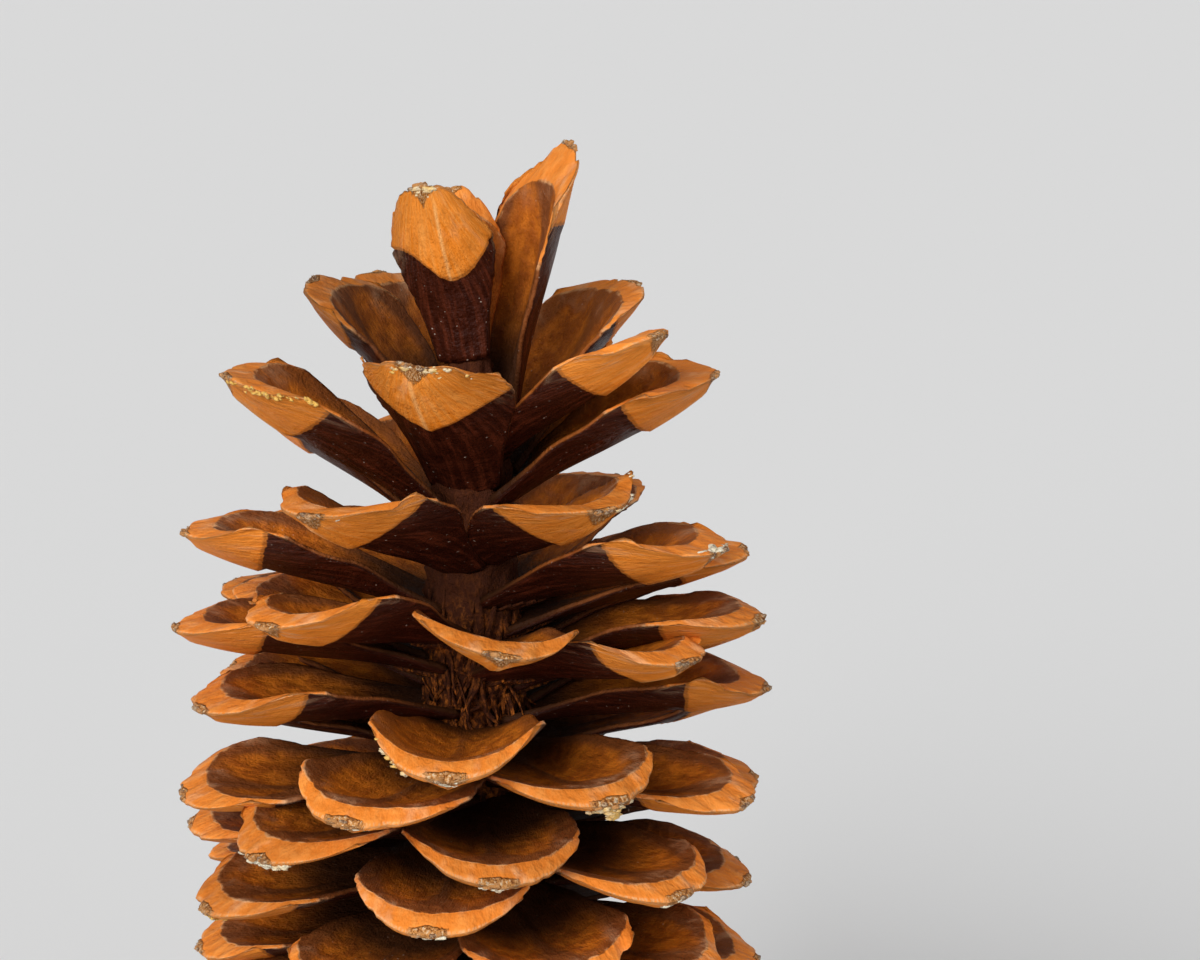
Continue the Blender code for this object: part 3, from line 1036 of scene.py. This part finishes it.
def umbo_piece():
    """Make the corky crumbs in the umbo, along the middle of every edge."""
    parts = []
    for scale in GROWN:
        draw = np.random.RandomState(300 + scale.number)
        middle = draw.uniform(-0.04, 0.04)
        for _ in range(UMBO_CRUMBS):
            off = draw.uniform(-1.0, 1.0)
            size = draw.uniform(0.3, 0.75) * (1.2 - 0.5 * abs(off))
            at = on_edge(scale, middle + UMBO_HALF_WIDTH * off, 1.0, draw.uniform(0.15, 0.9))
            crumb = lump(draw, (size * 0.9, size * 1.3, size * 0.6), 0.6)
            parts.append((to_world(scale, crumb + at), draw.uniform(0.0, 1.0)))
    return lumps_object("umbos", parts)


# scale number, where across the edge, how far it spreads, number of beads, size in mm, how low on the edge, yellow
RESIN = (
    (1, 0.0, 0.30, 22, 0.60, 0.9, 0.4),
    (6, 0.1, 0.50, 44, 0.55, 0.8, 0.5),
    (9, 0.45, 0.70, 110, 0.62, 0.7, 1.0),
    (11, 0.5, 0.35, 26, 0.60, 0.8, 0.3),
    (14, 0.0, 0.30, 26, 0.60, 0.6, 0.1),
    (16, 0.05, 0.20, 60, 0.90, 0.5, 0.1),
    (22, 0.0, 0.25, 20, 0.50, 0.7, 0.2),
    (24, 0.0, 0.25, 24, 0.55, 0.6, 0.2),
    (40, 0.0, 0.16, 24, 0.50, 0.9, 0.1),
    (40, -0.72, 0.20, 26, 0.55, 0.95, 0.5),
    (45, 0.0, 0.18, 60, 0.80, 1.0, 0.35),
    (45, 0.05, 0.09, 30, 0.85, 1.35, 0.45),
    (48, 0.0, 0.25, 30, 0.50, 0.9, 0.2),
    (50, 0.1, 0.25, 24, 0.60, 0.9, 0.4),
    (51, 0.0, 0.22, 30, 0.70, 0.9, 1.0),
    (53, 0.0, 0.16, 32, 0.50, 0.9, 0.2),
    (56, 0.0, 0.32, 90, 0.95, 1.0, 0.2),
    (58, 0.0, 0.28, 60, 0.80, 0.8, 0.1),
    (61, 0.0, 0.20, 40, 0.60, 0.9, 0.2),
    (64, 0.0, 0.22, 40, 0.80, 1.1, 0.7),
)
OTHER_RESIN_SHARE = 0.45


def resin_piece():
    """Make the dried resin at the edges: where the real cone shows it, and by chance elsewhere."""
    parts = []
    chance = random.Random(12)
    for scale in GROWN:
        lucky = chance.random() < OTHER_RESIN_SHARE
        crusts = [row[1:] for row in RESIN if row[0] == scale.number]
        if not crusts and (lucky and scale.number > 64 or scale.number in (29, 36, 44)):
            at, count = chance.uniform(-0.1, 0.1), chance.randint(12, 44)
            crusts.append((at, 0.25, count, 0.6, 0.9, chance.choice((0.1, 0.3, 0.9))))
        draw = np.random.RandomState(500 + scale.number)
        for at, spread, count, size, low_on, yellow in crusts:
            for _ in range(count):
                t = float(np.clip(at + draw.normal() * spread / 2, -0.98, 0.98))
                low = np.clip(low_on + draw.normal() * 0.2, 0.05, low_on + 0.1)
                edge = on_edge(scale, t, draw.uniform(0.955, 1.0), low)
                big = size * draw.uniform(0.35, 1.2) ** 1.5
                body = lump(draw, (big * 0.8, big * draw.uniform(0.8, 1.7), big * draw.uniform(0.3, 0.7)), 0.7)
                parts.append((to_world(scale, body + edge - (0.3 * big, 0.0, 0.0)), yellow + draw.uniform(-0.15, 0.15)))
    return lumps_object("resin", parts)


umbos = umbo_piece()
resin = resin_piece()
print("umbo faces:", len(umbos.data.polygons), "resin faces:", len(resin.data.polygons))

# %% [markdown]
# Cork is grey-brown and matt with dark pits. Resin is glossy where it is clear
# and chalky where it has crazed, so one noise mixes both colour and roughness.

# %% Finish of umbos and resin
CORK_GREY = (0.62, 0.46, 0.30, 1.0)
CORK_DARK = (0.16, 0.065, 0.024, 1.0)
CORK_TAN = (0.60, 0.26, 0.07, 1.0)
RESIN_WHITE = (0.74, 0.68, 0.52, 1.0)
RESIN_YELLOW = (0.74, 0.43, 0.08, 1.0)
RESIN_SHADE = (0.28, 0.20, 0.13, 1.0)


def umbo_cork():
    """Return the finish of the umbos."""
    cork = Finish("umbo_cork", ior=1.4)
    place = cork.node("ShaderNodeTexCoord", output=3)
    crumb = cork.noise(place, 1500.0, 5.0, 0.7)
    patch = cork.noise(place, 420.0, 2.0)
    tint = cork.node("ShaderNodeAttribute", {"attribute_name": "tint"}, output=2)
    colour = cork.mix(cork.step(crumb, 0.40, 0.62), CORK_DARK, CORK_GREY)
    colour = cork.mix(cork.step(tint + patch, 0.85, 1.15) * 0.8, colour, CORK_TAN)
    cork.feed(cork.shader.inputs["Base Color"], colour)
    cork.feed(cork.shader.inputs["Roughness"], 0.75 + (crumb - 0.5) * 0.2)
    cork.feed(cork.shader.inputs["Normal"], cork.bump(crumb, 0.0008))
    return cork.material


def dried_resin():
    """Return the finish of the resin."""
    sap = Finish("dried_resin", ior=1.52)
    place = sap.node("ShaderNodeTexCoord", output=3)
    crust = sap.noise(place, 1300.0, 4.0, 0.7)
    patch = sap.noise(place, 300.0, 2.0)
    tint = sap.node("ShaderNodeAttribute", {"attribute_name": "tint"}, output=2)
    colour = sap.mix(sap.step(tint + patch, 0.6, 1.2), RESIN_WHITE, RESIN_YELLOW)
    colour = sap.mix(sap.step(crust, 0.52, 0.70), colour, RESIN_SHADE)
    sap.feed(sap.shader.inputs["Base Color"], colour)
    sap.feed(sap.shader.inputs["Roughness"], 0.25 + crust * 0.5)
    sap.feed(sap.shader.inputs["Normal"], sap.bump(crust, 0.0005))
    return sap.material


umbos.data.materials.append(umbo_cork())
resin.data.materials.append(dried_resin())

# %% [markdown]
# Each piece rides on the cone's one body. The scales, core and bracts together
# stand for the plain cone, which is then hidden.

# %% Put the pieces on the frame
for piece in (*scale_pieces, core, bracts, umbos, resin):
    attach(piece, "root")
for piece in (*scale_pieces, core, bracts):
    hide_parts("cone")

# %% [markdown]
# The picture was taken a little from above against an even pale ground, in soft
# light. Suns with a wide disc light floor and cone evenly however far away they
# are, so the ground stays plain.

# %% Floor, light and camera
FLOOR_SIZE = 40.0
FLOOR_GREY = (0.735, 0.735, 0.735, 1.0)


def pale_floor():
    """Make the plain pale floor."""
    half = FLOOR_SIZE / 2
    corners = [(-half, -half, 0), (half, -half, 0), (half, half, 0), (-half, half, 0)]
    floor = new_object("floor", corners, [(0, 1, 2, 3)])
    matt = Finish("pale_floor", roughness=0.9)
    matt.shader.inputs["Base Color"].default_value = FLOOR_GREY
    matt.shader.inputs["Specular IOR Level"].default_value = 0.0
    floor.data.materials.append(matt.material)
    return floor


def sun(name, strength, disc, azimuth, elevation):
    """Add a sun with a wide disc that shines from an azimuth, 0 at the camera and growing to its right."""
    lamp = bpy.data.lights.new(name, "SUN")
    lamp.energy = strength
    lamp.angle = math.radians(disc)
    obj = bpy.data.objects.new(name, lamp)
    obj.rotation_euler = (math.radians(90 - elevation), 0.0, math.radians(azimuth))
    bpy.context.scene.collection.objects.link(obj)
    return obj


floor = pale_floor()
sun("key", 3.1, 42.0, -32.0, 28.0)
sun("fill", 1.4, 70.0, 48.0, 6.0)
sun("top", 0.4, 80.0, 10.0, 75.0)
world = bpy.data.worlds.new("studio")
world.use_nodes = True
world.node_tree.nodes["Background"].inputs["Color"].default_value = (0.80, 0.80, 0.80, 1.0)
world.node_tree.nodes["Background"].inputs["Strength"].default_value = 0.34
bpy.context.scene.world = world
bpy.context.scene.view_settings.view_transform = "Standard"

# The camera's axis meets the cone's axis plane at AIM, and a millimetre there is 5.37 of the picture's 1200 columns
LENS = 90.0
SENSOR = 36.0
LOOK_DOWN = 14.0
AIM = Vector((0.024, 0.0, 0.1879))
DISTANCE = 0.55866
camera_data = bpy.data.cameras.new("camera")
camera_data.lens = LENS
camera_data.sensor_width = SENSOR
camera_data.clip_end = 100.0
camera = bpy.data.objects.new("camera", camera_data)
down = math.radians(LOOK_DOWN)
camera.location = AIM + DISTANCE * Vector((0.0, -math.cos(down), math.sin(down)))
camera.rotation_euler = (math.radians(90.0) - down, 0.0, 0.0)
bpy.context.scene.collection.objects.link(camera)
bpy.context.scene.camera = camera
print("camera at, mm:", [round(part / MM) for part in camera.location])
